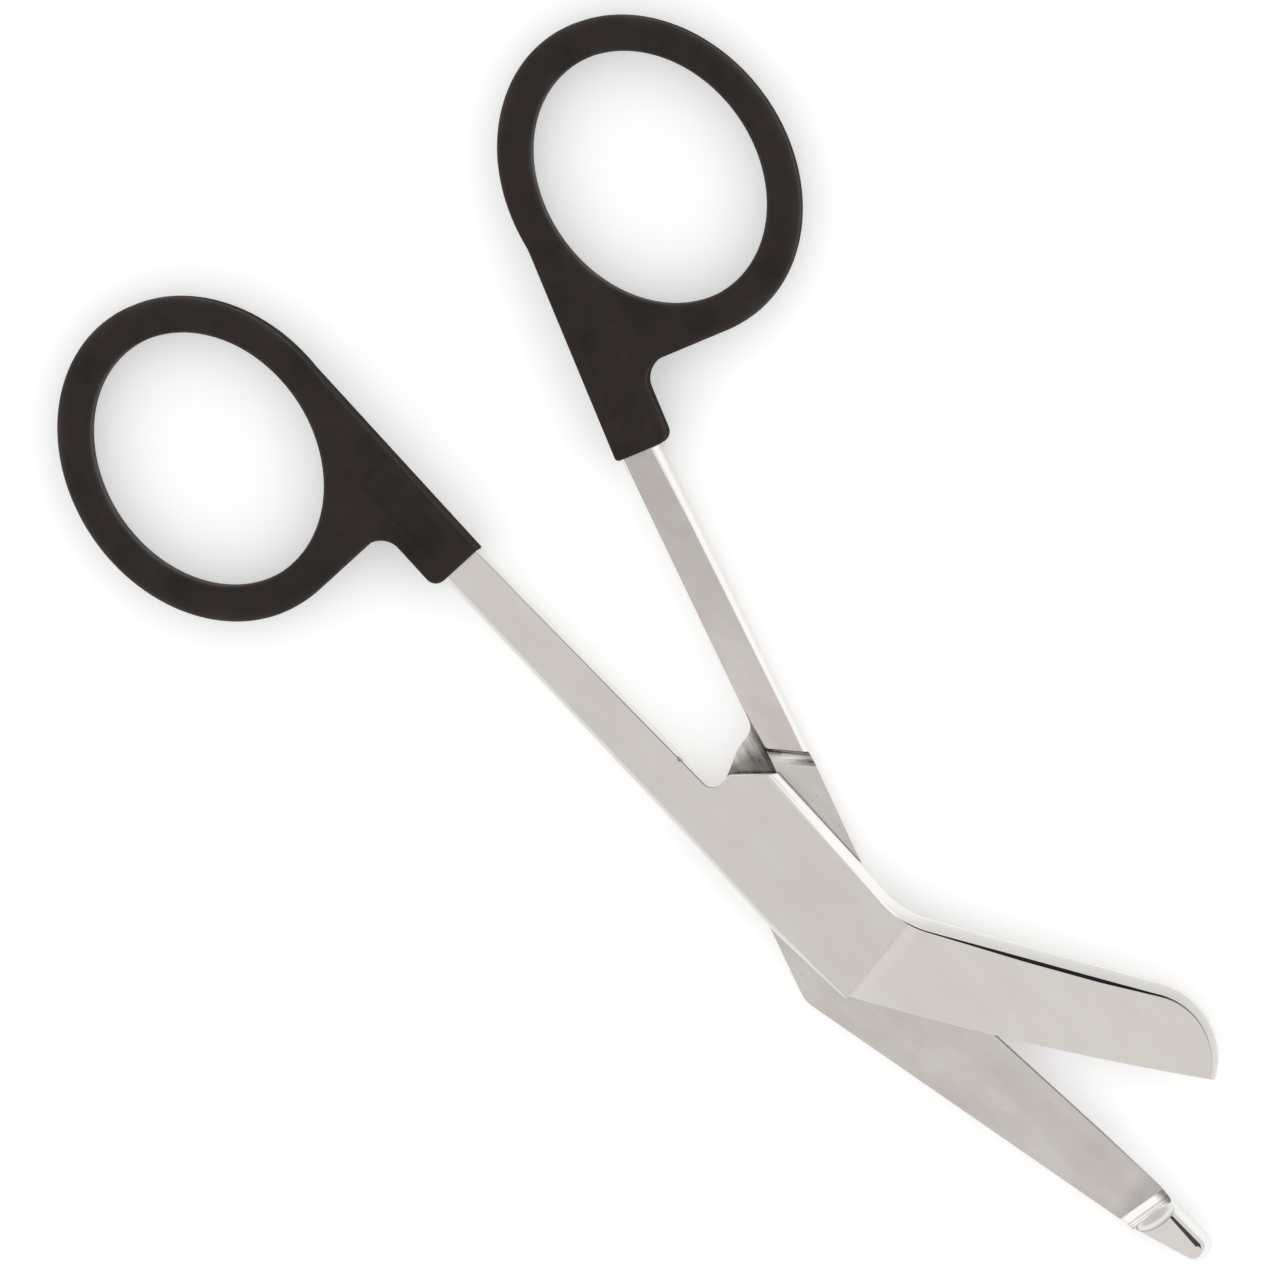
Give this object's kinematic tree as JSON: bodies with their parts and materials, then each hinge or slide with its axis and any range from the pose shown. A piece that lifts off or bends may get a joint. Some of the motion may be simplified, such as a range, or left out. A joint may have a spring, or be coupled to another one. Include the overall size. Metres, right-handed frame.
{
  "type": "bandage scissors",
  "caption": "Bent-blade bandage scissors with a probe-ended rear blade, a blunt front blade, a lap joint on a screw and ring grips, shown open.",
  "frame": {"origin": "on the pivot axis, in the plane that the scissors lie on, where the screw's head stands", "axes": "+X midway between the blades towards the tips, +Y to the side that the blades bend to, +Z along the pivot axis, up out of the front half"},
  "size_m": [0.1393, 0.0808, 0.0054],
  "materials": {
    "satin_steel": "satin, with brighter ground edges",
    "screw_steel": "turned",
    "black_plastic": "satin moulded"
  },
  "bodies": {
    "probe_half": {"rear_half": "satin_steel", "rear_grip": "black_plastic"},
    "blunt_half": {"front_half": "satin_steel", "front_grip": "black_plastic", "pivot_screw": "screw_steel"}
  },
  "joints": [
    {"name": "pivot", "type": "hinge", "parent": "probe_half", "child": "blunt_half", "pos_m": [0, 0, 0], "axis": [0, 0, 1], "range_deg": [-18, 0]}
  ]
}
